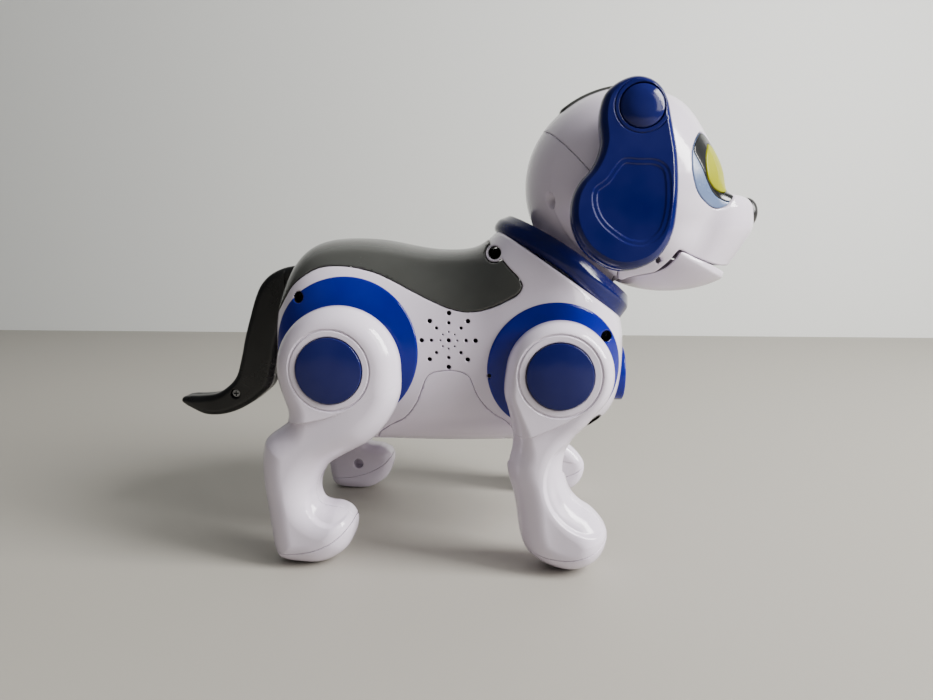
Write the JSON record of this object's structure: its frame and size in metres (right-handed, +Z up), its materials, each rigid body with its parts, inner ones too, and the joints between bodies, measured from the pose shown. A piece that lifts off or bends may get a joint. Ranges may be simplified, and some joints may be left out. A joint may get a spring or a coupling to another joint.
{
  "type": "robot dog toy",
  "caption": "Walking robot puppy with moulded shells, swinging leg pairs, turning head, hinged jaw, swinging ears, wagging tail and chest button.",
  "frame": {"origin": "on the floor plane, below the centre of the bounding box", "axes": "+X from tail to nose, +Y to the dog's left, +Z up"},
  "size_m": [0.2694, 0.1236, 0.2042],
  "materials": {
    "white_plastic": "gloss moulded, faint lavender white",
    "blue_plastic": "gloss moulded bright blue",
    "navy_plastic": "gloss moulded dark blue",
    "grey_plastic": "gloss moulded warm grey",
    "black_plastic": "satin moulded black",
    "rim_plastic": "satin grey-blue",
    "iris_plastic": "satin yellow-green",
    "inner_plastic": "matte unpainted",
    "dark_parts": "matte",
    "nylon": "natural nylon",
    "board_green": "solder mask",
    "steel": "plain steel",
    "rubber_dome": "moulded rubber"
  },
  "bodies": {
    "body": {"body_shell_right": "white_plastic", "body_shell_left": "white_plastic", "back_cover": "grey_plastic", "belly_cover": "white_plastic", "battery_door": "white_plastic", "collar_ring": "navy_plastic", "neck_post": "inner_plastic", "rear_hip_ring_right": "blue_plastic", "rear_hip_ring_left": "blue_plastic", "front_hip_ring_right": "blue_plastic", "front_hip_ring_left": "blue_plastic", "speaker": "dark_parts", "circuit_board": "board_green", "battery_pack": "dark_parts", "rear_motor": "steel", "front_motor": "steel", "button_dome": "rubber_dome", "tail_bracket": "inner_plastic", "tail_pin": "steel"},
    "chest_button": {"chest_button": "blue_plastic"},
    "power_switch": {"power_switch_knob": "black_plastic"},
    "front_drive": {"front_pinion": "nylon"},
    "rear_drive": {"rear_pinion": "nylon"},
    "head": {"head_back_shell": "white_plastic", "head_face_shell": "white_plastic", "head_crown_strip": "grey_plastic", "nose": "black_plastic", "eye_rim_right": "rim_plastic", "eye_lens_right": "black_plastic", "iris_right": "iris_plastic", "eye_rim_left": "rim_plastic", "eye_lens_left": "black_plastic", "iris_left": "iris_plastic"},
    "jaw": {"jaw": "white_plastic"},
    "ear_right": {"ear_right": "navy_plastic", "ear_cap_right": "navy_plastic"},
    "ear_left": {"ear_left": "navy_plastic", "ear_cap_left": "navy_plastic"},
    "tail": {"tail_right": "black_plastic", "tail_left": "black_plastic"},
    "front_legs": {"front_axle": "steel", "front_axle_gear": "nylon", "front_leg_outer_right": "white_plastic", "front_leg_inner_right": "white_plastic", "front_sole_right": "white_plastic", "front_hip_cap_right": "navy_plastic", "front_leg_outer_left": "white_plastic", "front_leg_inner_left": "white_plastic", "front_sole_left": "white_plastic", "front_hip_cap_left": "navy_plastic"},
    "rear_legs": {"rear_axle": "steel", "rear_axle_gear": "nylon", "rear_leg_outer_right": "white_plastic", "rear_leg_inner_right": "white_plastic", "rear_sole_right": "white_plastic", "rear_hip_cap_right": "navy_plastic", "rear_leg_outer_left": "white_plastic", "rear_leg_inner_left": "white_plastic", "rear_sole_left": "white_plastic", "rear_hip_cap_left": "navy_plastic"}
  },
  "joints": [
    {"name": "front_legs_swing", "type": "hinge", "parent": "body", "child": "front_legs", "pos_m": [0.0444, 0, 0.0834], "axis": [0, -1, 0], "range_deg": [-28, 55]},
    {"name": "rear_legs_swing", "type": "hinge", "parent": "body", "child": "rear_legs", "pos_m": [-0.0455, 0, 0.0845], "axis": [0, -1, 0], "range_deg": [-50, 25]},
    {"name": "front_pinion_spin", "type": "hinge", "parent": "body", "child": "front_drive", "pos_m": [0.0244, 0, 0.0834], "axis": [0, -1, 0], "range_deg": [-166, 85]},
    {"name": "rear_pinion_spin", "type": "hinge", "parent": "body", "child": "rear_drive", "pos_m": [-0.0255, 0, 0.0845], "axis": [0, -1, 0], "range_deg": [-76, 151]},
    {"name": "head_turn", "type": "hinge", "parent": "body", "child": "head", "pos_m": [0.0475, 0, 0.1205], "axis": [0.5721, 0, 0.8202], "range_deg": [-30, 30]},
    {"name": "jaw_open", "type": "hinge", "parent": "head", "child": "jaw", "pos_m": [0.077, 0, 0.121], "axis": [0, 1, 0], "range_deg": [0, 12]},
    {"name": "ear_right_swing", "type": "hinge", "parent": "head", "child": "ear_right", "pos_m": [0.0735, -0.042, 0.184], "axis": [0, -0.9925, 0.1219], "range_deg": [-12, 28]},
    {"name": "ear_left_swing", "type": "hinge", "parent": "head", "child": "ear_left", "pos_m": [0.0735, 0.042, 0.184], "axis": [0, -0.9925, -0.1219], "range_deg": [-12, 28]},
    {"name": "tail_wag", "type": "hinge", "parent": "body", "child": "tail", "pos_m": [-0.071, 0, 0.108], "axis": [0, 0, 1], "range_deg": [-10, 10]},
    {"name": "chest_button_press", "type": "slide", "parent": "body", "child": "chest_button", "axis": [-1, 0, 0], "range_m": [0, 0.0015], "stiffness_N_per_m": 400},
    {"name": "power_switch_slide", "type": "slide", "parent": "body", "child": "power_switch", "axis": [0, 1, 0], "range_m": [0, 0.0032]}
  ],
  "couplings": [
    {"joint": "front_pinion_spin", "follows": "front_legs_swing", "ratio": -3},
    {"joint": "rear_pinion_spin", "follows": "rear_legs_swing", "ratio": -3}
  ]
}
